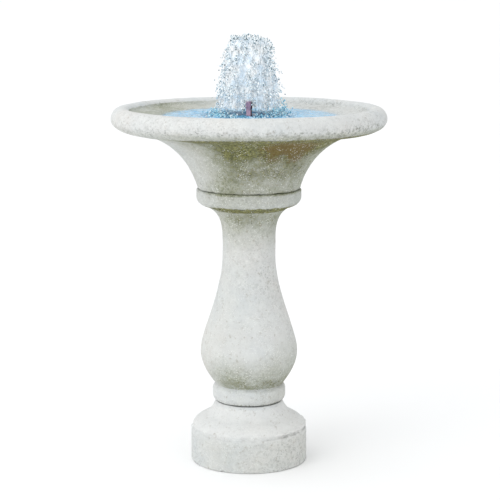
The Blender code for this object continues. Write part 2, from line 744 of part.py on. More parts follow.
def build():
    clear_scene()
    finish = make_materials()
    column_lift = pivot("column_lift", (0, 0, COLUMN_BOTTOM))
    bowl_lift = pivot("bowl_lift", (0, 0, BOWL_FOOT), column_lift)
    stopper_pull = pivot("stopper_pull", (*STOPPER_AT, WELL_FLOOR), bowl_lift)
    pump_lift = pivot("pump_lift", (0, 0, WELL_FLOOR), bowl_lift)
    rotor_spin = pivot("rotor_spin", (0, 0, AXIS_Z), pump_lift)
    strainer_pull = pivot("strainer_pull", (HOUSING_FRONT, 0, AXIS_Z), pump_lift)
    dial_turn = pivot("flow_dial_turn", (STRAINER_FRONT, 0, AXIS_Z), strainer_pull)
    nozzle_pull = pivot("nozzle_pull", (0, 0, PIPE_TOP), pump_lift)

    base = make_base(finish["stone"])
    turned("column", column_outline(), finish["stone"], PLAIN_SIDES, ring=True, parent=column_lift)
    make_bowl(finish["stone"], bowl_lift)
    make_gaskets(finish["foam"], base, column_lift)
    make_stopper(finish["rubber"], stopper_pull)

    make_housing(finish["plastic"], pump_lift)
    make_cups(finish["rubber"], pump_lift)
    make_core(finish["steel"], pump_lift)
    make_coils(finish["plastic"], finish["winding"], pump_lift)
    make_back(finish["resin"], finish["rubber"], pump_lift)

    make_rotor(finish, pump_lift, rotor_spin)
    make_volute(finish["plastic"], finish["rubber"], pump_lift)
    make_strainer(finish["plastic"], finish["foam"], strainer_pull)
    make_dial(finish["plastic"], dial_turn)
    make_riser(finish, pump_lift, nozzle_pull)
    make_plume(finish["water"], nozzle_pull)


build()
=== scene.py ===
"""The looks of a pedestal fountain: weathered cast stone, running water, a copper riser and its pump."""

import json
import math
import random

import bmesh
import bpy
import numpy as np
from mathutils import Matrix, Vector, noise


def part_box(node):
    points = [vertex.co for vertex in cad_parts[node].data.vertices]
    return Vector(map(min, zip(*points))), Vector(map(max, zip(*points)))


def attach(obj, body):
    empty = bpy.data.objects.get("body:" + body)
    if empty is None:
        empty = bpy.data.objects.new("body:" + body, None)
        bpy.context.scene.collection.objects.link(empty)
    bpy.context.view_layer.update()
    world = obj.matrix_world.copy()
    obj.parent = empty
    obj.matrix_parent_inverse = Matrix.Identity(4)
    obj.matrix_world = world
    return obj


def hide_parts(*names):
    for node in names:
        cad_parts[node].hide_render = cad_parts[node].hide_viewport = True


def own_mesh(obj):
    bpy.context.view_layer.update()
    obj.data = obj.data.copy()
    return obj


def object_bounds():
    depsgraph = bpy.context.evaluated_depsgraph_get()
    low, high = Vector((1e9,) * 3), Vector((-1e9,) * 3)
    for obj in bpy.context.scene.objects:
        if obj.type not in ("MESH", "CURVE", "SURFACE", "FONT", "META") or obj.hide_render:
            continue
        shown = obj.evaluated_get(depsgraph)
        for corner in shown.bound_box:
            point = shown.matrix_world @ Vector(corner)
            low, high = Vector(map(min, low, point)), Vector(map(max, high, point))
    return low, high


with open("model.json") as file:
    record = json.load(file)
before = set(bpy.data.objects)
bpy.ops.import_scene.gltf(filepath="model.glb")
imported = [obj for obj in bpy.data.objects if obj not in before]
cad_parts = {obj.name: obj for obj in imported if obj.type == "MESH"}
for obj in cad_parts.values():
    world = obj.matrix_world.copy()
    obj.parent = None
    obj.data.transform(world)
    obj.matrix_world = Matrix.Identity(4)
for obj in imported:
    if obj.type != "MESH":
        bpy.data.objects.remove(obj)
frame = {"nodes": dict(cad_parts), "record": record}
CAD_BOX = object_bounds()

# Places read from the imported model.
BOWL_LOW, BOWL_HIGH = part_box("bowl")
COLUMN_LOW, COLUMN_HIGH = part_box("column")
PLINTH_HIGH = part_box("base_plinth")[1]
PLUME_LOW, PLUME_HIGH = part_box("water_plume")
STOPPER_LOW, STOPPER_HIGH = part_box("bowl_stopper")
CUP_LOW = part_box("suction_cup_1")[0]
RISER_LOW, RISER_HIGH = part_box("riser_pipe")

# Sizes that the castings' outlines share with the CAD model.
KEY_DEPTH = 0.018
BOSS_HEIGHT = 0.016
RIM_RADIUS = BOWL_HIGH.x
RIM_TOP = BOWL_HIGH.z
BOWL_FOOT = BOWL_LOW.z + KEY_DEPTH
WELL_FLOOR = CUP_LOW.z - 0.0003
COLUMN_TOP = COLUMN_HIGH.z
COLUMN_BOTTOM = COLUMN_LOW.z
COLLAR_RADIUS = COLUMN_HIGH.x
PLINTH_RADIUS = PLINTH_HIGH.x
PLINTH_TOP = PLINTH_HIGH.z - BOSS_HEIGHT
NECK_RADIUS = 0.0594
BULB_RADIUS = 0.1093
FOOT_RING_RADIUS = 0.0825
CORE_RADIUS = 0.030
STOPPER_AT = ((STOPPER_LOW.x + STOPPER_HIGH.x) / 2, (STOPPER_LOW.y + STOPPER_HIGH.y) / 2)
WATER_LEVEL = PLUME_LOW.z - 0.001
JET_TOP = PLUME_HIGH.z

CURTAIN_COUNT = 3300
STRAY_COUNT = 160
SPLASH_COUNT = 760
ROUND_SIDES = 72

# A faint glow stands in for the light that water full of air scatters.
DROP_GLOW = 0.055
VEIL_GLOW = 0.065
WATER_IOR = 1.333

SEED = 11
draw = random.Random(SEED)


# ---------------------------------------------------------------- outlines

def arc(centre, radii, start, end, steps=14):
    """Points along an ellipse's arc, in degrees from outward (0) through upward (90)."""
    turn = [math.radians(start + (end - start) * i / steps) for i in range(steps + 1)]
    return [(centre[0] + radii[0] * math.cos(t), centre[1] + radii[1] * math.sin(t)) for t in turn]


def curve(start, handle_a, handle_b, end, steps=30):
    """Points along a cubic curve, from start to end."""
    points = []
    for i in range(steps + 1):
        t = i / steps
        weights = ((1 - t) ** 3, 3 * (1 - t) ** 2 * t, 3 * (1 - t) * t * t, t ** 3)
        controls = (start, handle_a, handle_b, end)
        points.append(tuple(sum(w * c[k] for w, c in zip(weights, controls)) for k in (0, 1)))
    return points


def bowl_outline():
    crest = RIM_RADIUS - 0.025
    middle = RIM_TOP - 0.025
    foot_radius = 0.115
    seat = 0.0885
    inside = [
        (0.0, WELL_FLOOR),
        (0.088, WELL_FLOOR),
        *arc((0.088, WELL_FLOOR + 0.012), (0.012, 0.012), -90, -10, 6),
        *curve((0.104, 0.680), (0.116, 0.745), (0.150, 0.773), (0.195, 0.782)),
        *curve((0.195, 0.782), (0.222, 0.787), (0.245, 0.789), (0.259, 0.7915), 10),
        *curve((0.259, 0.7915), (0.266, 0.793), (0.266, RIM_TOP), (crest, RIM_TOP), 14),
    ]
    outside = [
        *arc((crest, middle), (RIM_RADIUS - crest, RIM_TOP - middle), 90, 0),
        *arc((RIM_RADIUS - 0.048, middle), (0.048, 0.029), 0, -95),
        *curve((0.250, 0.7505), (0.200, 0.743), (0.1375, 0.705), (foot_radius, BOWL_FOOT + 0.002)),
        (foot_radius - 0.0015, BOWL_FOOT - 0.0011),
        (0.1090, BOWL_FOOT - 0.0011),
        (0.1085, BOWL_FOOT),
    ]
    key = [
        (seat - 0.0025, BOWL_FOOT),
        (seat - 0.0030, BOWL_FOOT - KEY_DEPTH),
        (0.070, BOWL_FOOT - KEY_DEPTH),
        (0.070, BOWL_FOOT),
        (0.0, BOWL_FOOT),
    ]
    return inside + outside + key


def column_outline():
    collar = [
        (0.0885, COLUMN_TOP),
        (0.1085, COLUMN_TOP),
        (0.1090, COLUMN_TOP + 0.0011),
        *arc((COLLAR_RADIUS - 0.003, COLUMN_TOP - 0.0019), (0.003, 0.003), 90, 0, 6),
        *arc((COLLAR_RADIUS - 0.022, COLUMN_TOP - 0.015), (0.022, 0.021), 0, -80),
    ]
    neck = [
        *curve((0.094, 0.584), (0.070, 0.572), (NECK_RADIUS, 0.552), (NECK_RADIUS, 0.515)),
        *curve((NECK_RADIUS, 0.478), (NECK_RADIUS, 0.385), (BULB_RADIUS, 0.300), (BULB_RADIUS, 0.252)),
        *curve((BULB_RADIUS, 0.252), (BULB_RADIUS, 0.225), (0.092, 0.198), (0.076, 0.178)),
    ]
    foot = [
        *arc((FOOT_RING_RADIUS - 0.009, 0.166), (0.009, 0.010), 80, 0, 8),
        *arc((FOOT_RING_RADIUS - 0.008, COLUMN_BOTTOM + 0.015), (0.008, 0.015), 0, -90, 10),
    ]
    seat_height = COLUMN_BOTTOM + BOSS_HEIGHT + 0.001
    core = [
        (0.0525, COLUMN_BOTTOM),
        (0.0525, seat_height),
        (CORE_RADIUS, seat_height),
        (CORE_RADIUS, 0.575),
        (0.0885, COLUMN_TOP - 0.0215),
    ]
    return collar + neck + foot + core


def plinth_outline():
    hollow = PLINTH_RADIUS - 0.027
    return [
        (CORE_RADIUS + 0.002, PLINTH_TOP + BOSS_HEIGHT),
        (0.050, PLINTH_TOP + BOSS_HEIGHT),
        (0.050, PLINTH_TOP),
        (0.0755, PLINTH_TOP),
        *curve((0.0755, PLINTH_TOP), (0.081, 0.126), (0.087, 0.114), (0.099, 0.107), 12),
        *curve((0.099, 0.107), (0.118, 0.099), (PLINTH_RADIUS - 0.0030, 0.090),
               (PLINTH_RADIUS - 0.0026, 0.0785), 16),
        (PLINTH_RADIUS - 0.0004, 0.0762),
        (PLINTH_RADIUS, 0.0740),
        *arc((PLINTH_RADIUS - 0.003, 0.003), (0.003, 0.003), 0, -90, 6),
        (hollow, 0.0),
        (hollow - 0.006, 0.040),
        (CORE_RADIUS + 0.002, 0.046),
    ]


# ---------------------------------------------------------------- turned meshes

def evenly(outline, spacing):
    """The outline with points no farther apart than spacing, keeping its corners."""
    points = [outline[0]]
    for target in outline[1:]:
        start = points[-1]
        length = math.dist(start, target)
        if length < 0.0004:
            continue
        pieces = max(1, math.ceil(length / spacing))
        for i in range(1, pieces + 1):
            t = i / pieces
            points.append((start[0] + (target[0] - start[0]) * t, start[1] + (target[1] - start[1]) * t))
    return points


def directions(points, ring):
    """The outward normal at each point of an outline, in its own plane."""
    last = len(points) - 1
    found = []
    for i in range(len(points)):
        before = points[i - 1] if i or ring else points[i]
        after = points[i + 1] if i < last else points[0 if ring else i]
        along = Vector((after[0] - before[0], after[1] - before[1])).normalized()
        found.append((-along.y, along.x))
    return found


def mesh_object(name, vertices, faces):
    mesh = bpy.data.meshes.new(name)
    mesh.from_pydata(vertices, [], faces)
    mesh.validate()
    mesh.shade_smooth()
    obj = bpy.data.objects.new(name, mesh)
    bpy.context.scene.collection.objects.link(obj)
    return obj


def turned(name, outline, sides, spacing=1.0, relief=None, ring=False):
    """A solid of revolution about Z. relief gives how far each point stands out along its normal."""
    points = evenly(outline, spacing)
    normals = directions(points, ring)
    vertices, rows = [], []
    for (radius, height), (out, up) in zip(points, normals):
        if radius < 1e-6:
            rows.append([len(vertices)] * sides)
            vertices.append((0.0, 0.0, height))
            continue
        rows.append(range(len(vertices), len(vertices) + sides))
        for i in range(sides):
            turn = 2 * math.pi * i / sides
            x, y = math.cos(turn), math.sin(turn)
            point = Vector((radius * x, radius * y, height))
            if relief:
                point += relief(point) * Vector((out * x, out * y, up))
            vertices.append(point)
    if ring:
        rows.append(rows[0])
    faces = []
    for upper, lower in zip(rows, rows[1:]):
        for i in range(sides):
            j = (i + 1) % sides
            corners = (upper[i], lower[i], lower[j], upper[j])
            faces.append(tuple(dict.fromkeys(corners)))
    return mesh_object(name, vertices, faces)


def drill(obj, cutter):
    """Cuts cutter out of obj for good, and removes it."""
    boolean = obj.modifiers.new("drill", "BOOLEAN")
    boolean.operation = "DIFFERENCE"
    boolean.object = cutter
    bpy.context.view_layer.update()
    cut = bpy.data.meshes.new_from_object(obj.evaluated_get(bpy.context.evaluated_depsgraph_get()))
    obj.modifiers.clear()
    obj.data = cut
    bpy.data.objects.remove(cutter)
    return obj


# ---------------------------------------------------------------- stone surface

def smooth(value, low, high):
    """0 below low, 1 above high, and a smooth rise between."""
    t = min(max((value - low) / (high - low), 0.0), 1.0)
    return t * t * (3 - 2 * t)


def window(value, low, high, soft):
    """1 between low and high, fading to 0 over soft on each side."""
    return smooth(value, low - soft, low) * (1 - smooth(value, high, high + soft))


def ledge(point):
    """The rough line between the plinth's shoulder and drum: a ridge over a groove, higher to the right."""
    rough = noise.fractal(point * 55, 0.8, 2.0, 3)
    right = smooth(math.sin(bearing(point)), -0.1, 0.8)
    height = point.z + 0.0016 * rough - 0.0065 * right
    ridge = window(height, 0.0770, 0.0800, 0.003)
    groove = window(height, 0.0705, 0.0725, 0.0028)
    side = 0.30 + 0.90 * right
    return side * (0.0018 * ridge * (1 + 1.3 * rough) - 0.0034 * groove * smooth(rough, -0.40, 0.25))


def stone_relief(edges, extra=None):
    """How far hand-cast, weathered stone stands out: slow waves, grain, pits, and chips on the edges.

    Each edge is its radius, its height, and how wide and how deep its chips are.
    """
    def relief(point):
        waves = 0.0008 * noise.noise(point * 9) + 0.0004 * noise.noise(point * 31)
        grain = 0.00016 * noise.noise(point * 150) + 0.00014 * noise.noise(point * 290)
        distances, cells = noise.voronoi(point * 85)
        pit = 0.0
        if noise.cell(cells[0] * 53) > 0.78:
            pit = 0.0010 * (1 - smooth(distances[0], 0.08, 0.34))
        chip = 0.0
        radius = math.hypot(point.x, point.y)
        for edge_radius, edge_height, width, depth in edges:
            near = 1 - smooth(math.hypot(radius - edge_radius, point.z - edge_height), 0.0, width)
            if near:
                rough = noise.fractal(point * 42, 0.9, 2.0, 3)
                chip += near * depth * smooth(rough, 0.02, 0.55)
        return waves + grain - pit - chip + (extra(point) if extra else 0.0)
    return relief


def bearing(point):
    """Angle round the axis: 0 at the front, positive towards +X."""
    return math.atan2(point.x, -point.y)


def damp_side(point):
    """Growth is thick from the front round to the right, and thin on the left, where the sun dries it."""
    facing = math.cos(bearing(point) - 1.25) + 0.20 * noise.noise(point * 7)
    lower = 0.30 * (1 - smooth(point.z, 0.630, 0.735))
    return 0.20 + 0.80 * smooth(facing + lower, -0.62, 0.20)


def is_outside(point):
    return math.hypot(point.x, point.y) > 0.11 or point.z < WELL_FLOOR


def film_and_shade_on(point):
    """A soft grey-green film: on the flare, the neck and under the bulb, with dust on the left. Inside the
    bowl the mask also paints shade on the left inner wall.
    """
    z = point.z
    if not is_outside(point):
        return 0.3
    patch = noise.fractal(point * 9, 1.0, 2.0, 3)
    radius = math.hypot(point.x, point.y)
    # Inside the bowl the mask grows on the left inner wall, which faces away from the light: painted shade.
    if z > 0.77 and radius < RIM_RADIUS - 0.040:
        shaded = smooth(-math.sin(bearing(point)), -0.2, 1.0)
        return max(0.0, (0.12 + 0.70 * shaded) * (1 + 0.55 * patch))
    flare = window(z, BOWL_FOOT - 0.002, 0.752, 0.006) * (0.90 + 0.32 * smooth(z, 0.64, 0.74))
    lip = 0.80 * window(z, 0.750, 0.763, 0.012) * smooth(radius, 0.2, 0.24)
    collar = 0.50 * window(z, 0.586, 0.620, 0.008)
    neck = 0.95 * smooth(z, 0.47, 0.575) * (1 - smooth(z, 0.585, 0.590))
    right = smooth(math.sin(bearing(point)), 0.0, 0.9)
    bulb = 0.95 * (1 - smooth(z, 0.185, 0.275 + 0.05 * right)) * smooth(z, 0.176, 0.180)
    foot_ring = 0.12 * window(z, 0.140, 0.176, 0.004) * (1 + 1.6 * right)
    drum = 0.22 * (1 - smooth(z, 0.055, 0.085))
    dust = 0.11 * window(z, 0.20, 0.75, 0.03) * smooth(-math.sin(bearing(point)), -0.5, 0.6)
    damp = damp_side(point)
    total = dust + (flare + lip + collar + bulb + foot_ring + drum) * damp + neck * (0.55 + 0.45 * damp)
    return max(0.0, total * (1 + 0.26 * patch))


def moss_on(point):
    """How densely moss and dark algae cover the stone, from 0 to 1: thickest under overhangs. The mask also
    darkens a band on the collar's underside.
    """
    if not is_outside(point):
        return 0.0
    z = point.z
    turn = bearing(point)
    right = math.sin(turn)
    radius = math.hypot(point.x, point.y)
    patch = 0.45 * noise.fractal(point * 12, 1.0, 2.0, 3) + 0.55 * noise.fractal(point * 38, 1.0, 2.0, 3)
    centre = window(turn, -0.12, 0.80, 0.42)
    dense = 0.26 + 0.14 * smooth(z, 0.635, 0.665) + 0.60 * smooth(z + 0.012 * patch, 0.690, 0.746)
    flare = window(z, BOWL_FOOT + 0.002, 0.7535, 0.006) * dense * (0.62 + 0.50 * centre)
    lip = 0.60 * window(z, 0.751, 0.757, 0.008) * window(turn, -0.1, 1.5, 0.6) * smooth(radius, 0.2, 0.24)
    # A dark band on the underside of the collar.
    under_collar = 1.1 * window(z, 0.581, 0.5895, 0.004) * (1 - smooth(radius, 0.107, 0.1115))
    neck = 0.38 * window(z, 0.558, 0.58, 0.040) * (0.55 + 0.45 * window(turn, -0.3, 0.3, 0.5))
    neck_edge = 0.20 * window(z, 0.50, 0.58, 0.05) * smooth(right, 0.48, 0.96)
    bulb_foot = 0.34 * smooth(z, 0.1755, 0.1785) * (1 - smooth(z, 0.190, 0.222))
    bulb_side = 0.16 * window(z, 0.18, 0.25, 0.04) * smooth(right, 0.1, 0.84)
    foot_seam = 0.40 * window(z, 0.1385, 0.1440, 0.0025) * window(turn, -0.3, 0.9, 0.5)
    total = flare + lip + under_collar + neck + neck_edge + bulb_foot + bulb_side + foot_seam
    return max(0.0, total * damp_side(point) * (1 + 0.6 * patch))


def rust_on(point):
    """Brown run-off under the lip, right of the front."""
    turn = bearing(point)
    if math.hypot(point.x, point.y) < 0.11:
        return 0.0
    patch = noise.fractal(point * 17 + Vector((3, 1, 7)), 0.9, 2.0, 3)
    height = window(point.z, 0.706, 0.742, 0.024)
    return max(0.0, height * window(turn, 0.26, 0.70, 0.24) * (0.58 + 1.1 * patch))


def wear_and_highlight_on(point):
    """How pitted and speckled the stone is: most on the lip's lower half, the collar and the drum. Below
    zero on the plinth's shoulder, which is a painted highlight.
    """
    z = point.z
    radius = math.hypot(point.x, point.y)
    patch = noise.fractal(point * 6 + Vector((5, 5, 5)), 1.0, 2.0, 3)
    right = smooth(math.sin(bearing(point)), -0.9, 0.9)
    lip = window(z, 0.750, 0.772, 0.016) * smooth(radius, 0.2, 0.25)
    collar = 0.6 * window(z, 0.587, 0.597, 0.01)
    lowered = 0.0070 * (1 - smooth(math.sin(bearing(point)), -0.1, 0.8))
    drum = (0.40 + 0.24 * right) * (1 - smooth(z + lowered, 0.068, 0.080))
    inside = 0.5 * smooth(z, 0.77, 0.785) * (1 - smooth(radius, 0.262, 0.272))
    worn = max(0.0, 0.16 + (lip + collar + drum + inside) * (0.45 + 0.75 * right) + 0.6 * patch)
    # Taking some off on the plinth's shoulder paints a highlight there: the material lightens the stone
    # where this is below zero.
    return worn - 0.8 * window(z, 0.084, 0.128, 0.006)


def stain_and_shading(obj):
    """Stores the stone's stains on its points, where the material reads them, with its painted shade and
    highlight.
    """
    mesh = obj.data
    points = [v.co.copy() for v in mesh.vertices]
    for name, amount in (("film", film_and_shade_on), ("moss", moss_on), ("rust", rust_on), ("wear_and_highlight", wear_and_highlight_on)):
        layer = mesh.attributes.new(name, "FLOAT", "POINT")
        layer.data.foreach_set("value", np.array([amount(p) for p in points], np.float32))


# ---------------------------------------------------------------- materials

class Nodes:
    """Short calls for building one material's node tree."""

    def __init__(self, name):
        self.material = bpy.data.materials.new(name)
        self.material.use_nodes = True
        self.tree = self.material.node_tree
        self.shader = self.tree.nodes["Principled BSDF"]
        self.place = self.tree.nodes.new("ShaderNodeTexCoord").outputs["Object"]

    def new(self, kind, **settings):
        node = self.tree.nodes.new(kind)
        for key, value in settings.items():
            setattr(node, key, value)
        return node

    def feed(self, socket, value):
        """Links value to the socket if it is an output, and sets it if it is a plain value."""
        if isinstance(value, bpy.types.NodeSocket):
            self.tree.links.new(value, socket)
        elif isinstance(value, tuple) and len(value) == 3 and socket.type == "RGBA":
            socket.default_value = (*value, 1.0)
        else:
            socket.default_value = value

    def noise(self, scale, detail=3.0, rough=0.5, stretch=None, distortion=0.0):
        node = self.new("ShaderNodeTexNoise")
        self.feed(node.inputs["Vector"], self.stretched(stretch) if stretch else self.place)
        node.inputs["Scale"].default_value = scale
        node.inputs["Detail"].default_value = detail
        node.inputs["Roughness"].default_value = rough
        node.inputs["Distortion"].default_value = distortion
        return node.outputs["Fac"]

    def cells(self, scale):
        node = self.new("ShaderNodeTexVoronoi", feature="F1")
        self.feed(node.inputs["Vector"], self.place)
        node.inputs["Scale"].default_value = scale
        return node.outputs["Distance"]

    def bands(self, scale, direction="Z", distortion=0.0):
        node = self.new("ShaderNodeTexWave", bands_direction=direction)
        self.feed(node.inputs["Vector"], self.place)
        node.inputs["Scale"].default_value = scale
        node.inputs["Distortion"].default_value = distortion
        return node.outputs["Fac"]

    def stretched(self, scale):
        node = self.new("ShaderNodeMapping")
        self.feed(node.inputs["Vector"], self.place)
        node.inputs["Scale"].default_value = scale
        return node.outputs["Vector"]

    def attribute(self, name):
        return self.new("ShaderNodeAttribute", attribute_name=name).outputs["Fac"]

    def remap(self, value, low, high, to_low=0.0, to_high=1.0):
        node = self.new("ShaderNodeMapRange")
        node.clamp = True
        self.feed(node.inputs["Value"], value)
        for key, number in (("From Min", low), ("From Max", high), ("To Min", to_low), ("To Max", to_high)):
            node.inputs[key].default_value = number
        return node.outputs["Result"]

    def math(self, operation, a, b):
        node = self.new("ShaderNodeMath", operation=operation)
        self.feed(node.inputs[0], a)
        self.feed(node.inputs[1], b)
        return node.outputs["Value"]

    def mix(self, factor, a, b, blend="MIX"):
        node = self.new("ShaderNodeMix", data_type="RGBA", blend_type=blend)
        self.feed(node.inputs["Factor"], factor)
        self.feed(node.inputs["A"], a)
        self.feed(node.inputs["B"], b)
        return node.outputs["Result"]

    def ramp(self, value, stops):
        node = self.new("ShaderNodeValToRGB")
        self.feed(node.inputs["Fac"], value)
        while len(node.color_ramp.elements) < len(stops):
            node.color_ramp.elements.new(0.5)
        for element, (position, colour) in zip(node.color_ramp.elements, stops):
            element.position = position
            element.color = (*colour, 1.0)
        return node.outputs["Color"]

    def bump(self, height, distance, strength=1.0):
        node = self.new("ShaderNodeBump")
        self.feed(node.inputs["Height"], height)
        node.inputs["Distance"].default_value = distance
        node.inputs["Strength"].default_value = strength
        self.tree.links.new(node.outputs["Normal"], self.shader.inputs["Normal"])

    def set(self, **values):
        for key, value in values.items():
            self.feed(self.shader.inputs[key.replace("_", " ")], value)
        return self.material


def stone_material():
    """Pale cast stone: warm and cool clouds, flecks and pits, a grey-green film, moss and rust, with
    painted shade on the bowl's left inner wall and a painted highlight on the plinth's shoulder.
    """
    n = Nodes("weathered_stone")
    clouds = n.remap(n.noise(7, 4, 0.55), 0.35, 0.65)
    stone = n.mix(clouds, (0.603, 0.628, 0.632), (0.655, 0.650, 0.630))
    mottle = n.noise(42, 5, 0.65)
    stone = n.mix(n.remap(mottle, 0.42, 0.62, 0.0, 0.5), stone, (0.70, 0.715, 0.70))
    wear_and_highlight = n.attribute("wear_and_highlight")
    # Where this mask is below zero, on the plinth's shoulder, the stone is lightened: a painted highlight.
    stone = n.mix(n.remap(wear_and_highlight, -0.7, 0.0, 0.50, 0.0), stone, (0.73, 0.73, 0.715))
    fine = n.noise(235, 5, 0.78)
    # The film mask also carries painted shade on the bowl's left inner wall.
    film = n.math("MULTIPLY", n.attribute("film"), n.remap(n.noise(60, 5, 0.7), 0.30, 0.62, 0.55, 1.0))
    film_and_shade_colour = n.mix(n.remap(fine, 0.41, 0.59), (0.160, 0.176, 0.098), (0.41, 0.42, 0.325))
    stone = n.mix(n.math("MULTIPLY", film, 0.88), stone, film_and_shade_colour)
    grey = n.remap(n.noise(130, 4, 0.7), 0.50, 0.60)
    grey = n.math("MULTIPLY", grey, n.remap(wear_and_highlight, 0.0, 1.4, 0.08, 0.70))
    stone = n.mix(grey, stone, (0.33, 0.35, 0.33))
    blotch = n.remap(n.noise(88, 5, 0.75), 0.53, 0.58)
    blotch = n.math("MULTIPLY", blotch, n.remap(wear_and_highlight, 0.80, 1.30, 0.0, 0.60))
    stone = n.mix(blotch, stone, (0.20, 0.21, 0.165))
    moss = n.attribute("moss")
    sprout = n.math("ADD", n.remap(fine, 0.28, 0.72, -1.0, 0.0), n.math("MULTIPLY", moss, 1.05))
    cover = n.math("MULTIPLY", n.remap(sprout, -0.10, 0.22), n.remap(moss, 0.02, 0.25))
    growth = n.mix(n.remap(n.noise(150, 5, 0.8), 0.40, 0.60), (0.024, 0.030, 0.004), (0.26, 0.255, 0.078))
    stone = n.mix(n.math("MULTIPLY", cover, 0.86), stone, growth)
    rust = n.math("ADD", n.remap(n.noise(110, 5, 0.7), 0.28, 0.70, -1.0, 0.0), n.attribute("rust"))
    stone = n.mix(n.remap(rust, -0.30, 0.30, 0.0, 0.72), stone, (0.145, 0.092, 0.024))
    pits = n.math("MULTIPLY", n.remap(n.cells(200), 0.34, 0.14), n.remap(n.noise(31, 2), 0.60, 0.40))
    pits = n.math("MULTIPLY", pits, n.remap(wear_and_highlight, 0.0, 1.0, 0.15, 1.0))
    stone = n.mix(n.math("MULTIPLY", pits, 0.68), stone, (0.13, 0.14, 0.12))
    flecks = n.math("MULTIPLY", n.remap(n.cells(235), 0.32, 0.14), n.remap(n.noise(37, 2), 0.42, 0.53))
    flecks = n.math("MULTIPLY", flecks, n.remap(film, 0.1, 0.8, 0.48, 0.72))
    stone = n.mix(flecks, stone, (0.86, 0.87, 0.84))
    height = n.math("ADD", n.math("MULTIPLY", fine, 0.7), n.math("MULTIPLY", n.noise(85, 3, 0.6), 0.6))
    height = n.math("SUBTRACT", height, n.math("MULTIPLY", pits, 0.9))
    height = n.math("ADD", height, n.math("MULTIPLY", cover, 0.25))
    n.bump(height, 0.0014)
    return n.set(Base_Color=stone, Roughness=n.remap(mottle, 0.3, 0.7, 0.80, 0.96), Specular_IOR_Level=0.22)


def water_material():
    """The pool: sky blue, deep blue in the jet's foot, foam and dark ripples round it, and a clear edge."""
    n = Nodes("pool_water")
    depth = n.attribute("depth")
    wave = n.remap(n.noise(48, 4, 0.6, stretch=(1.0, 2.2, 1.0)), 0.36, 0.64)
    deep = n.mix(wave, (0.014, 0.115, 0.25), (0.11, 0.38, 0.62))
    shallow = n.mix(wave, (0.12, 0.38, 0.62), (0.38, 0.67, 0.88))
    colour = n.mix(depth, shallow, deep)
    splash = n.attribute("foam")
    froth = n.noise(115, 5, 0.75)
    colour = n.mix(n.math("MULTIPLY", n.remap(froth, 0.50, 0.42), splash), colour, (0.020, 0.160, 0.260))
    colour = n.mix(n.math("MULTIPLY", n.remap(froth, 0.53, 0.60), splash), colour, (0.84, 0.93, 0.97))
    n.bump(n.noise(70, 3, 0.5), 0.0020)
    ragged = n.math("ADD", n.attribute("reach"), n.remap(n.noise(40, 3), 0.3, 0.7, -0.18, 0.18))
    edge = n.remap(ragged, 0.08, 0.50, 0.04, 0.95)
    return n.set(Base_Color=colour, Roughness=0.05, Alpha=edge, IOR=WATER_IOR)


def drops_material(name, stops):
    """Bright drops, each with a colour of its own from the stops, and more dark ones higher up: painted
    light that keeps the jet's shaded lower part bright.
    """
    n = Nodes(name)
    place = n.new("ShaderNodeSeparateXYZ")
    n.feed(place.inputs["Vector"], n.place)
    # More dark drops higher up and fewer low down: painted light on the jet's shaded lower part.
    painted_height_shading = n.remap(place.outputs["Z"], WATER_LEVEL + 0.03, JET_TOP, 0.0, 0.05)
    colour = n.ramp(n.math("SUBTRACT", n.noise(260, 1), painted_height_shading), stops)
    n.bump(n.noise(420, 2), 0.0004)
    return n.set(
        Base_Color=colour,
        Roughness=0.05,
        IOR=WATER_IOR,
        Transmission_Weight=0.15,
        Emission_Color=(0.93, 0.97, 1.0),
        Emission_Strength=DROP_GLOW,
    )


def jet_drops_material():
    """The jet's drops: mostly white, some pale blue, and a few dark teal that are painted dark reflections.
    """
    # The two darkest stops paint dark reflections in some of the drops.
    stops = [
        (0.0, (0.01, 0.04, 0.05)),
        (0.37, (0.05, 0.10, 0.12)),
        (0.40, (0.60, 0.80, 0.92)),
        (0.47, (0.97, 1.0, 1.0)),
        (1.0, (1.0, 1.0, 1.0)),
    ]
    return drops_material("jet_drops", stops)


def splash_drops_material():
    """The splash's drops, which show the blue-green of the pool under them."""
    stops = [
        (0.0, (0.01, 0.10, 0.18)),
        (0.38, (0.03, 0.26, 0.42)),
        (0.44, (0.19, 0.59, 0.78)),
        (0.53, (0.50, 0.87, 0.97)),
        (0.62, (0.96, 1.0, 1.0)),
    ]
    return drops_material("splash_drops", stops)


def veil_material():
    """The sheet of aerated water inside the jet: white and pale blue streaks with clear gaps, and dark
    specks that are painted reflections.
    """
    n = Nodes("water_veil")
    streaks = n.noise(60, 5, 0.7, stretch=(1.0, 1.0, 0.42), distortion=0.8)
    froth = n.noise(170, 4, 0.75)
    colour = n.mix(n.remap(n.noise(34, 3), 0.40, 0.56), (0.72, 0.84, 0.95), (1.0, 1.0, 1.0))
    # Dark specks in the froth: painted dark reflections.
    colour = n.mix(n.remap(froth, 0.61, 0.66, 0.0, 0.9), colour, (0.04, 0.10, 0.13))
    n.bump(froth, 0.0010)
    alpha = n.math("MULTIPLY", n.remap(streaks, 0.42, 0.58, 0.22, 0.90), n.attribute("sheet"))
    return n.set(
        Base_Color=colour,
        Roughness=0.10,
        Alpha=alpha,
        IOR=WATER_IOR,
        Emission_Color=(0.93, 0.97, 1.0),
        Emission_Strength=VEIL_GLOW,
    )


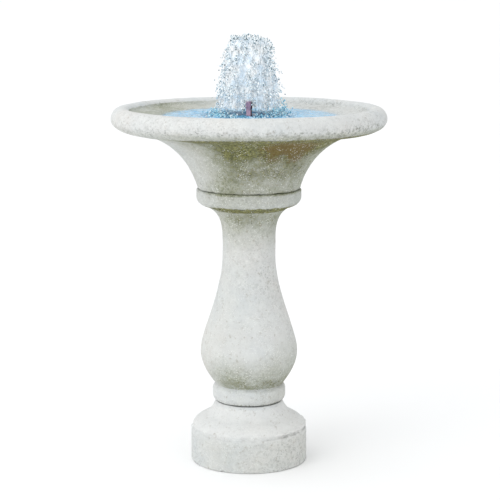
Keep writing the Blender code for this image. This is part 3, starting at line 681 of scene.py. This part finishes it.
def copper_material():
    """Pink-mauve tarnished copper, with painted shade as a dark streak down its right side."""
    n = Nodes("dull_copper")
    blotch = n.remap(n.noise(60, 5, 0.65), 0.35, 0.65)
    colour = n.mix(blotch, (0.93, 0.50, 0.68), (1.0, 0.72, 0.85))
    across = n.new("ShaderNodeSeparateXYZ")
    n.feed(across.inputs["Vector"], n.place)
    wavering = n.math("ADD", across.outputs["X"], n.remap(blotch, 0.0, 1.0, 0.0, 0.0006))
    # A dark streak down the right side of the pipe and cap: painted shade.
    painted_shade_streak = n.remap(wavering, 0.0030, 0.0050)
    colour = n.mix(painted_shade_streak, colour, (0.075, 0.020, 0.035))
    n.bump(n.noise(420, 3), 0.0002)
    return n.set(Base_Color=colour, Roughness=n.remap(blotch, 0.0, 1.0, 0.30, 0.46), Metallic=0.05)


def plastic_material():
    n = Nodes("moulded_plastic")
    film = n.remap(n.noise(70, 6, 0.7), 0.45, 0.75)
    colour = n.mix(film, (0.018, 0.019, 0.021), (0.075, 0.082, 0.078))
    n.bump(n.noise(900, 2), 0.00015)
    return n.set(Base_Color=colour, Roughness=n.remap(film, 0.0, 1.0, 0.38, 0.70))


def rubber_material():
    n = Nodes("black_rubber")
    dust = n.remap(n.noise(160, 5, 0.7), 0.45, 0.75)
    colour = n.mix(dust, (0.014, 0.014, 0.014), (0.055, 0.056, 0.052))
    n.bump(n.noise(700, 3), 0.0002)
    return n.set(Base_Color=colour, Roughness=n.remap(dust, 0.0, 1.0, 0.62, 0.88))


def foam_material():
    n = Nodes("open_cell_foam")
    pores = n.cells(420)
    colour = n.mix(n.remap(pores, 0.10, 0.45), (0.012, 0.012, 0.012), (0.13, 0.13, 0.125))
    n.bump(pores, 0.0012)
    return n.set(Base_Color=colour, Roughness=n.remap(pores, 0.1, 0.5, 0.98, 0.88))


def hose_material():
    n = Nodes("milky_hose")
    cloud = n.noise(90, 4, 0.6)
    colour = n.mix(n.remap(cloud, 0.35, 0.65), (0.52, 0.60, 0.58), (0.72, 0.77, 0.76))
    n.bump(n.bands(150, "Z"), 0.0002)
    return n.set(Base_Color=colour, Roughness=n.remap(cloud, 0.3, 0.7, 0.22, 0.40))


def steel_material():
    n = Nodes("bare_steel")
    scratches = n.noise(260, 4, 0.6, stretch=(0.15, 0.15, 1.0))
    colour = n.mix(n.remap(scratches, 0.35, 0.65), (0.40, 0.41, 0.43), (0.60, 0.61, 0.62))
    colour = n.mix(n.remap(n.noise(110, 5, 0.7), 0.60, 0.70, 0.0, 0.7), colour, (0.26, 0.15, 0.09))
    n.bump(scratches, 0.00012)
    return n.set(Base_Color=colour, Roughness=n.remap(scratches, 0.3, 0.7, 0.26, 0.45), Metallic=0.9)


def lamination_material():
    n = Nodes("core_laminations")
    sheets = n.bands(320, "X")
    colour = n.mix(sheets, (0.17, 0.18, 0.19), (0.42, 0.43, 0.45))
    n.bump(sheets, 0.0002)
    return n.set(Base_Color=colour, Roughness=n.remap(sheets, 0.0, 1.0, 0.55, 0.35), Metallic=0.9)


def winding_material():
    n = Nodes("enamelled_wire")
    turns = n.bands(420, "Z", 0.4)
    colour = n.mix(turns, (0.16, 0.045, 0.015), (0.62, 0.27, 0.11))
    n.bump(turns, 0.0003)
    return n.set(Base_Color=colour, Roughness=n.remap(turns, 0.0, 1.0, 0.42, 0.26), Metallic=0.85)


def ceramic_material():
    n = Nodes("ground_ceramic")
    rings = n.noise(300, 3, 0.6)
    colour = n.mix(n.remap(rings, 0.35, 0.65), (0.78, 0.77, 0.72), (0.90, 0.90, 0.87))
    n.bump(rings, 0.00005)
    return n.set(Base_Color=colour, Roughness=n.remap(rings, 0.3, 0.7, 0.22, 0.36))


def ferrite_material():
    n = Nodes("moulded_ferrite")
    grain = n.noise(500, 4, 0.7)
    colour = n.mix(n.remap(grain, 0.35, 0.65), (0.045, 0.045, 0.05), (0.11, 0.11, 0.115))
    n.bump(grain, 0.0001)
    return n.set(Base_Color=colour, Roughness=n.remap(grain, 0.3, 0.7, 0.45, 0.62), Metallic=0.2)


def resin_material():
    n = Nodes("cast_resin")
    swirl = n.noise(55, 4, 0.6, distortion=1.2)
    colour = n.mix(n.remap(swirl, 0.35, 0.65), (0.018, 0.018, 0.02), (0.05, 0.05, 0.052))
    n.bump(swirl, 0.0004)
    return n.set(Base_Color=colour, Roughness=n.remap(swirl, 0.3, 0.7, 0.14, 0.32))


def make_materials():
    return {
        "stone": stone_material(),
        "foam": foam_material(),
        "rubber": rubber_material(),
        "plastic": plastic_material(),
        "hose": hose_material(),
        "copper": copper_material(),
        "winding": winding_material(),
        "steel": steel_material(),
        "ceramic": ceramic_material(),
        "ferrite": ferrite_material(),
        "resin": resin_material(),
        "water": water_material(),
        "lamination": lamination_material(),
        "drops": jet_drops_material(),
        "splash": splash_drops_material(),
        "veil": veil_material(),
    }


# ---------------------------------------------------------------- pieces

def finish_piece(obj, material, body, slot, *nodes):
    obj.data.materials.clear()
    obj.data.materials.append(material)
    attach(obj, body)
    if nodes:
        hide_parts(*nodes)
    return obj


def make_castings(materials):
    """The bowl, column and plinth with relief, stains and some painted shade and highlight, in place of the
    plain CAD castings.
    """
    bowl_edges = [
        (0.262, 0.7505, 0.012, 0.0022),
        (0.115, BOWL_FOOT, 0.007, 0.0016),
    ]
    bowl = turned("bowl_stone", bowl_outline(), 512, spacing=0.0042, relief=stone_relief(bowl_edges))
    drain = turned(
        "drain_cutter",
        [
            (0, WELL_FLOOR + 0.004),
            (0.0115, WELL_FLOOR + 0.004),
            (0.0095, BOWL_FOOT - 0.004),
            (0, BOWL_FOOT - 0.004),
        ],
        32,
    )
    drain.location = (*STOPPER_AT, 0)
    drill(bowl, drain)
    column_edges = [
        (COLLAR_RADIUS, COLUMN_TOP - 0.002, 0.006, 0.0018),
        (COLLAR_RADIUS - 0.008, 0.590, 0.009, 0.0016),
        (FOOT_RING_RADIUS - 0.002, COLUMN_BOTTOM + 0.003, 0.007, 0.0020),
        (FOOT_RING_RADIUS - 0.003, 0.174, 0.006, 0.0012),
    ]
    column_relief = stone_relief(column_edges)
    column = turned("column_stone", column_outline(), 300, spacing=0.0028, relief=column_relief, ring=True)
    plinth_edges = [
        (PLINTH_RADIUS - 0.001, 0.077, 0.010, 0.0034),
        (PLINTH_RADIUS, 0.002, 0.010, 0.0028),
    ]
    plinth_relief = stone_relief(plinth_edges, ledge)
    plinth = turned("plinth_stone", plinth_outline(), 400, spacing=0.0018, relief=plinth_relief, ring=True)
    notch = turned("notch_cutter", [(0, 0.03), (0.009, 0.03), (0.009, -0.03), (0, -0.03)], 24)
    notch.location = (0, PLINTH_RADIUS - 0.012, 0.004)
    notch.rotation_euler = (math.pi / 2, 0, 0)
    drill(plinth, notch)
    castings = ((bowl, "bowl", "bowl"), (column, "column", "column"), (plinth, "base", "base_plinth"))
    for obj, body, node in castings:
        stain_and_shading(obj)
        finish_piece(obj, materials["stone"], body, "stone", node)


POOL_RADIUS = 0.214
JET_FOOT = 0.078


def pool_height(radius, turn):
    """Height of the pool's surface above its level: rings that run out from the jet's foot, and chop."""
    point = Vector((radius * math.sin(turn), -radius * math.cos(turn), 0))
    chop = noise.fractal(point * 30, 0.9, 2.0, 3)
    rings = math.sin(radius * 430 + 2.5 * noise.noise(point * 12))
    near = math.exp(-((radius - JET_FOOT) / 0.030) ** 2)
    calm = 1 - smooth(radius, 0.10, POOL_RADIUS)
    lively = 0.25 + calm
    return 0.0012 * rings * lively * (0.5 + near) + 0.0022 * chop * lively + 0.0035 * near * max(chop, 0)


def make_pool(materials):
    """The pool's surface as a thin closed sheet with a hole that the riser stands in."""
    sides, rings, thickness = 220, 84, 0.003
    inner = 0.0095
    vertices, rows = [], []
    for under in (False, True):
        for i in range(rings + 1):
            ring = rings - i if under else i
            radius = inner + (POOL_RADIUS - inner) * ring / rings
            rows.append(range(len(vertices), len(vertices) + sides))
            for k in range(sides):
                turn = 2 * math.pi * k / sides
                lift = pool_height(radius, turn) * (1 - smooth(radius, POOL_RADIUS - 0.012, POOL_RADIUS))
                height = WATER_LEVEL + (-thickness if under else lift)
                vertices.append((radius * math.sin(turn), -radius * math.cos(turn), height))
    rows.append(rows[0])
    faces = []
    for a, b in zip(rows, rows[1:]):
        for k in range(sides):
            j = (k + 1) % sides
            faces.append((a[k], b[k], b[j], a[j]))
    pool = mesh_object("pool_surface", vertices, faces)
    radii = [math.hypot(v[0], v[1]) for v in vertices]
    for name, values in (
        ("depth", [1 - smooth(r, 0.055, 0.125) for r in radii]),
        ("reach", [1 - smooth(r, 0.160, 0.214) for r in radii]),
        ("foam", [math.exp(-((r - JET_FOOT - 0.010) / 0.020) ** 2) for r in radii]),
    ):
        layer = pool.data.attributes.new(name, "FLOAT", "POINT")
        layer.data.foreach_set("value", np.array(values, np.float32))
    finish_piece(pool, materials["water"], "bowl", "water")


def jet_radius(height):
    """Radius of the jet's outside at a height above the pool, which narrows upwards."""
    t = (height - WATER_LEVEL) / (JET_TOP - WATER_LEVEL)
    return JET_FOOT - 0.036 * t ** 1.7


def jet_top(turn):
    """The jet's top is ragged: how high it reaches at a bearing."""
    around = Vector((math.sin(turn), -math.cos(turn), 0)) * 1.7
    return JET_TOP - 0.002 + 0.010 * noise.fractal(around, 0.9, 2.0, 3)


def drop_mesh():
    """Vertices and faces of one round drop of unit radius."""
    shape = bmesh.new()
    bmesh.ops.create_icosphere(shape, subdivisions=1, radius=1.0)
    shape.verts.ensure_lookup_table()
    vertices = [v.co.copy() for v in shape.verts]
    faces = [tuple(v.index for v in f.verts) for f in shape.faces]
    shape.free()
    return vertices, faces


def drops_object(name, places):
    """One mesh of many separate drops. places gives each one's centre, radius, stretch and direction."""
    unit, unit_faces = drop_mesh()
    vertices, faces = [], []
    for centre, radius, stretch, direction in places:
        start = len(vertices)
        turn = Vector((0, 0, 1)).rotation_difference(direction).to_matrix()
        for corner in unit:
            long = Vector((corner.x, corner.y, corner.z * stretch)) * radius
            vertices.append(centre + turn @ long)
        faces.extend(tuple(start + i for i in face) for face in unit_faces)
    return mesh_object(name, vertices, faces)


def before_riser(centre):
    """Whether a drop would stand close round the riser, or hide it from the front."""
    beside = abs(centre.x) < 0.0100 and centre.y < 0
    return centre.z < 0.822 and (beside or math.hypot(centre.x, centre.y) < 0.020)


def curtain_drops(count):
    """Drops that rise and fall through the jet in ragged strands, denser near its outside."""
    places = []
    while len(places) < count:
        share = draw.random() ** 0.80
        turn = draw.uniform(-math.pi, math.pi)
        height = WATER_LEVEL + 0.004 + (jet_top(turn) - WATER_LEVEL - 0.004) * share
        reach = math.sqrt(draw.uniform(0.06, 1.0))
        strand = noise.noise(Vector((math.sin(turn) * 4.2, math.cos(turn) * 4.2, height * 17 + 40)))
        if draw.random() > 0.55 + 1.1 * strand:
            continue
        swell = 1 + 0.10 * strand + 0.04 * draw.gauss(0, 1) * draw.random()
        radius = jet_radius(min(height, JET_TOP)) * reach * swell
        centre = Vector((radius * math.sin(turn), -radius * math.cos(turn), height))
        low = 1 - smooth(height, WATER_LEVEL + 0.010, WATER_LEVEL + 0.024)
        if before_riser(centre) or radius > JET_FOOT + 0.01 or draw.random() < 0.9 * low:
            continue
        size = draw.uniform(0.0008, 0.0027) * (1.10 - 0.25 * share)
        lean = Vector((math.sin(turn) * 0.30, -math.cos(turn) * 0.30, -1)).normalized()
        places.append((centre, size, draw.uniform(0.9, 2.1), lean))
    return places


def stray_drops(count):
    """Drops thrown just outside the jet."""
    places = []
    for _ in range(count):
        turn = draw.uniform(-math.pi, math.pi)
        height = draw.uniform(WATER_LEVEL + 0.03, JET_TOP - 0.006)
        radius = jet_radius(height) * draw.uniform(1.02, 1.12)
        centre = Vector((radius * math.sin(turn), -radius * math.cos(turn), height))
        places.append((centre, draw.uniform(0.0007, 0.0017), draw.uniform(0.9, 1.4), Vector((0, 0, 1))))
    return places


def splash_drops(count):
    """The splash round the jet's foot, highest on the right and lowest in front of the riser."""
    places = []
    while len(places) < count:
        turn = draw.uniform(-math.pi, math.pi)
        side = abs(math.sin(turn))
        radius = draw.gauss(JET_FOOT - 0.004, 0.011)
        rise = (0.003 + 0.008 * side ** 2) * (1.0 + 0.35 * math.sin(turn))
        height = WATER_LEVEL + abs(draw.gauss(0.0, rise))
        centre = Vector((radius * math.sin(turn), -radius * math.cos(turn), height))
        if before_riser(centre) or draw.random() > 0.30 + 0.70 * side:
            continue
        places.append((centre, draw.uniform(0.0009, 0.0024), draw.uniform(0.9, 1.5), Vector((0, 0, 1))))
    return places


def sheet_at(point):
    """1 where the jet's sheet is whole, and 0 in the gap before the riser."""
    side = smooth(abs(point.x), 0.009, 0.018)
    above = smooth(point.z, 0.818, 0.830)
    behind = smooth(point.y, -0.010, 0.0)
    return max(side, above, behind) * smooth(point.z, WATER_LEVEL + 0.008, WATER_LEVEL + 0.026)


def make_veil(name, share, low, high, seed):
    """A lumpy sheet of water inside the jet, at a share of its radius."""
    steps = 46
    heights = [high + (low - high) * i / steps for i in range(steps + 1)]
    outline = [(jet_radius(height) * share, height) for height in heights]

    def lumps(point):
        shifted = point + Vector((seed, 0, 0))
        stretched = Vector((shifted.x, shifted.y, shifted.z * 0.45))
        ragged = 0.0042 * noise.fractal(stretched * 55, 0.8, 2.0, 3)
        return ragged + 0.0018 * noise.noise(point * 210)

    veil = turned(name, outline, 150, 0.004, lumps)
    layer = veil.data.attributes.new("sheet", "FLOAT", "POINT")
    layer.data.foreach_set("value", np.array([sheet_at(v.co) for v in veil.data.vertices], np.float32))
    return veil


def make_jet(materials):
    """The jet's veils, drops and splash, which sink towards the pool as the flow dial closes."""
    outer = make_veil("jet_veil_outer", 0.86, WATER_LEVEL + 0.006, JET_TOP - 0.008, 0.0)
    inner = make_veil("jet_veil_inner", 0.50, WATER_LEVEL + 0.036, JET_TOP - 0.004, 4.0)
    drops = drops_object("jet_drops", curtain_drops(CURTAIN_COUNT) + stray_drops(STRAY_COUNT))
    splash = drops_object("splash_drops", splash_drops(SPLASH_COUNT))
    pieces = [
        (outer, "veil", ["water_plume"]),
        (inner, "veil", []),
        (drops, "drops", []),
        (splash, "splash", []),
    ]
    for obj, finish, nodes in pieces:
        finish_piece(obj, materials[finish], "nozzle", "water", *nodes)
        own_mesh(obj)


def laid_along_x(obj, at):
    """Turns a piece that was made along Z to lie along X, at a place."""
    obj.data.transform(Matrix.Translation(at) @ Matrix.Rotation(math.pi / 2, 4, "Y"))
    return obj


def rounded_ring(inner, outer, low, high, edge):
    """The outline of a ring with rounded outer edges."""
    return [
        (inner, high),
        *arc((outer - edge, high - edge), (edge, edge), 90, 0, 4),
        *arc((outer - edge, low + edge), (edge, edge), 0, -90, 4),
        (inner, low),
    ]


def box_shape(shape, low, high, bevel):
    """Adds a box with rounded edges to a bmesh."""
    made = bmesh.ops.create_cube(shape, size=1.0)["verts"]
    bmesh.ops.scale(shape, vec=[b - a for a, b in zip(low, high)], verts=made)
    bmesh.ops.translate(shape, vec=[(a + b) / 2 for a, b in zip(low, high)], verts=made)
    edges = {edge for vertex in made for edge in vertex.link_edges}
    bmesh.ops.bevel(shape, geom=list(edges), offset=bevel, segments=3, profile=0.5, affect="EDGES")


def make_clamp(name, node, coupling_radius):
    """A worm-drive clamp: a slotted band, the screw's housing and the screw's head."""
    low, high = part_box(node)
    band_radius = coupling_radius + 0.0013
    shape = bmesh.new()
    band_outline = rounded_ring(coupling_radius + 0.0003, band_radius, low.z, high.z, 0.0004)
    band = turned(name, band_outline, ROUND_SIDES, ring=True)
    shape.from_mesh(band.data)
    housing_low = (-0.0035, coupling_radius + 0.0008, low.z + 0.0004)
    housing_high = (0.0035, high.y, high.z - 0.0004)
    box_shape(shape, housing_low, housing_high, 0.0008)
    middle = ((housing_low[1] + housing_high[1]) / 2 + 0.0004, (low.z + high.z) / 2)
    sizes = {"radius1": 0.0019, "radius2": 0.0017, "depth": 0.0018}
    head = bmesh.ops.create_cone(shape, cap_ends=True, segments=32, **sizes)
    place = Matrix.Translation((0.0043, *middle)) @ Matrix.Rotation(math.pi / 2, 4, "Y")
    bmesh.ops.transform(shape, matrix=place, verts=head["verts"])
    slots = 22
    for number in range(slots):
        turn = math.radians(215 + 110 * number / (slots - 1))
        made = bmesh.ops.create_cube(shape, size=1.0)["verts"]
        bmesh.ops.scale(shape, vec=(0.0002, 0.0005, 0.0036), verts=made)
        slot_radius = coupling_radius + 0.00135
        at = (slot_radius * math.cos(turn), slot_radius * math.sin(turn), middle[1])
        tilt = Matrix.Rotation(turn, 4, "Z") @ Matrix.Rotation(0.18, 4, "X")
        bmesh.ops.transform(shape, matrix=Matrix.Translation(at) @ tilt, verts=made)
    shape.to_mesh(band.data)
    shape.free()
    band.data.set_sharp_from_angle(angle=math.radians(40))
    return band


def make_riser(materials):
    """Finer copies of the copper riser, its spray cap, the coupling and its clamps."""
    coupling_low, coupling_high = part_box("outlet_coupling")
    coupling_radius = coupling_high.x
    pipe_radius = RISER_HIGH.x
    bore = pipe_radius - 0.00095
    pipe_outline = rounded_ring(bore, pipe_radius, RISER_LOW.z, RISER_HIGH.z, 0.0003)
    pipe = turned("riser_fine", pipe_outline, ROUND_SIDES, ring=True)
    finish_piece(pipe, materials["copper"], "pump", "copper", "riser_pipe")

    cap_low, cap_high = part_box("nozzle_cap")
    inner = pipe_radius + 0.00025
    outline = [
        (0, cap_high.z),
        (0.0035, cap_high.z),
        *curve((0.0035, cap_high.z), (0.0056, cap_high.z), (cap_high.x, cap_high.z - 0.0022),
               (cap_high.x, cap_high.z - 0.0045), 8),
        (cap_high.x, cap_low.z + 0.0004),
        (cap_high.x - 0.0003, cap_low.z),
        (inner, cap_low.z),
        (inner, RISER_HIGH.z + 0.0016),
        (0.0052, RISER_HIGH.z + 0.0016),
        (0.0052, cap_high.z - 0.0040),
        (0, cap_high.z - 0.0025),
    ]
    cap = turned("nozzle_fine", outline, ROUND_SIDES)
    jets = 6
    for number in range(jets):
        turn = 2 * math.pi * number / jets
        hole = turned("jet_cutter", [(0, 0.01), (0.0008, 0.01), (0.0008, -0.02), (0, -0.02)], 20)
        hole.location = (0.0036 * math.cos(turn), 0.0036 * math.sin(turn), cap_high.z)
        drill(cap, hole)
    cap.data.set_sharp_from_angle(angle=math.radians(40))
    finish_piece(cap, materials["copper"], "nozzle", "copper", "nozzle_cap")

    hose_bore = pipe_radius + 0.00035
    hose_outline = rounded_ring(hose_bore, coupling_radius, coupling_low.z, coupling_high.z, 0.0006)
    hose = turned("coupling_fine", hose_outline, ROUND_SIDES, ring=True)
    finish_piece(hose, materials["hose"], "pump", "hose", "outlet_coupling")
    for node in ("hose_clamp_lower", "hose_clamp_upper"):
        clamp = make_clamp(node + "_fine", node, coupling_radius)
        finish_piece(clamp, materials["steel"], "pump", "steel", node)


def make_cups(materials):
    for number in range(1, 5):
        node = f"suction_cup_{number}"
        low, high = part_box(node)
        centre = ((low.x + high.x) / 2, (low.y + high.y) / 2, 0)
        floor, top = low.z, high.z
        outline = [
            (0, top),
            (0.0025, top),
            (0.0025, top - 0.0021),
            *arc((0.0039, top - 0.0029), (0.0006, 0.0008), 90, -90, 6),
            *curve((0.0030, top - 0.0046), (0.0034, top - 0.0074), (0.0078, floor + 0.0020),
                   (0.0085, floor + 0.0005), 12),
            (0.0085, floor),
            *curve((0.0070, floor + 0.0008), (0.0050, floor + 0.0024), (0.0025, floor + 0.0028),
                   (0, floor + 0.0028), 8),
        ]
        cup = turned(node + "_fine", outline, 56)
        cup.data.transform(Matrix.Translation(centre))
        cup.data.set_sharp_from_angle(angle=math.radians(50))
        finish_piece(cup, materials["rubber"], "pump", "rubber", node)


def make_gland(materials):
    """The lead's gland with its moulded ribs."""
    low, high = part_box("cord_gland")
    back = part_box("pump_housing")[0].x
    outline = [
        (0.0026, 0.0065),
        (0.0038, 0.0065),
        (0.0038, 0.0),
        (0.0060, 0.0),
        (0.0060, -0.0015),
        (0.0052, -0.0022),
    ]
    ribs = 4
    for number in range(ribs):
        start = -0.0028 - 0.0018 * number
        radius = 0.0051 - 0.0002 * number
        groove_radius = radius - 0.0009
        outline += [
            (radius, start),
            (radius, start - 0.0009),
            (groove_radius, start - 0.0010),
            (groove_radius, start - 0.0017),
        ]
    outline += [(0.0041, -0.0100), (0.0026, -0.0100)]
    gland = turned("gland_fine", outline, 56, ring=True)
    laid_along_x(gland, (back, (low.y + high.y) / 2, (low.z + high.z) / 2))
    gland.data.set_sharp_from_angle(angle=math.radians(40))
    finish_piece(gland, materials["rubber"], "pump", "rubber", "cord_gland")


def paint_nodes(materials):
    """Gives each CAD node that still shows its procedural material."""
    slots = {row["node"]: row["material_slot"] for row in frame["record"]["subparts"]}
    for name, obj in frame["nodes"].items():
        finish = "lamination" if name == "stator_core" else slots[name]
        obj.data.materials.clear()
        obj.data.materials.append(materials[finish])
        obj.data.shade_smooth()
        obj.data.set_sharp_from_angle(angle=math.radians(32))


# ---------------------------------------------------------------- studio

def make_floor():
    bpy.ops.mesh.primitive_plane_add(size=900, location=(0, 0, CAD_BOX[0][2] - 0.0002))
    floor = bpy.context.object
    floor.name = "studio_floor"
    n = Nodes("pale_floor")
    tone = n.mix(n.remap(n.noise(0.5, 2), 0.3, 0.7), (0.93, 0.93, 0.93), (0.95, 0.95, 0.95))
    floor.data.materials.append(n.set(Base_Color=tone, Roughness=0.9))


def make_light():
    """A soft white studio, brighter from the upper left and front, with one large soft key."""
    world = bpy.data.worlds.new("studio")
    bpy.context.scene.world = world
    world.use_nodes = True
    tree = world.node_tree
    background = tree.nodes["Background"]
    place = tree.nodes.new("ShaderNodeTexCoord")
    towards = tree.nodes.new("ShaderNodeVectorMath")
    towards.operation = "DOT_PRODUCT"
    towards.inputs[1].default_value = Vector((-0.60, -0.44, 0.67)).normalized()
    tree.links.new(place.outputs["Generated"], towards.inputs[0])
    level = tree.nodes.new("ShaderNodeMapRange")
    for key, number in (("From Min", -0.9), ("From Max", 0.95), ("To Min", 0.69), ("To Max", 1.27)):
        level.inputs[key].default_value = number
    tree.links.new(towards.outputs["Value"], level.inputs["Value"])
    tree.links.new(level.outputs["Result"], background.inputs["Strength"])
    background.inputs["Color"].default_value = (0.98, 0.99, 1.0, 1.0)

    key = bpy.data.lights.new("key", "AREA")
    key.energy = 28
    key.shape = "DISK"
    key.size = 2.6
    lamp = bpy.data.objects.new("key", key)
    lamp.location = (-2.1, -2.3, 3.1)
    lamp.rotation_euler = (Vector((0, 0, 0.45)) - lamp.location).to_track_quat("-Z", "Y").to_euler()
    bpy.context.scene.collection.objects.link(lamp)


def make_camera():
    """A long lens a little above the rim, looking down at the fountain's front."""
    distance, height, pitch = 3.724, 1.128, 9.83
    camera = bpy.data.cameras.new("camera")
    camera.lens = 121.0
    camera.sensor_width = 36.0
    camera.shift_x = 0.002
    obj = bpy.data.objects.new("camera", camera)
    obj.location = (0, -distance, height)
    obj.rotation_euler = (math.radians(90 - pitch), 0, 0)
    bpy.context.scene.collection.objects.link(obj)
    bpy.context.scene.camera = obj


def main():
    make_camera()
    materials = make_materials()
    paint_nodes(materials)
    make_castings(materials)
    make_pool(materials)
    make_jet(materials)
    make_riser(materials)
    make_cups(materials)
    make_gland(materials)
    make_floor()
    make_light()
    bpy.context.scene.view_settings.view_transform = "Standard"


main()
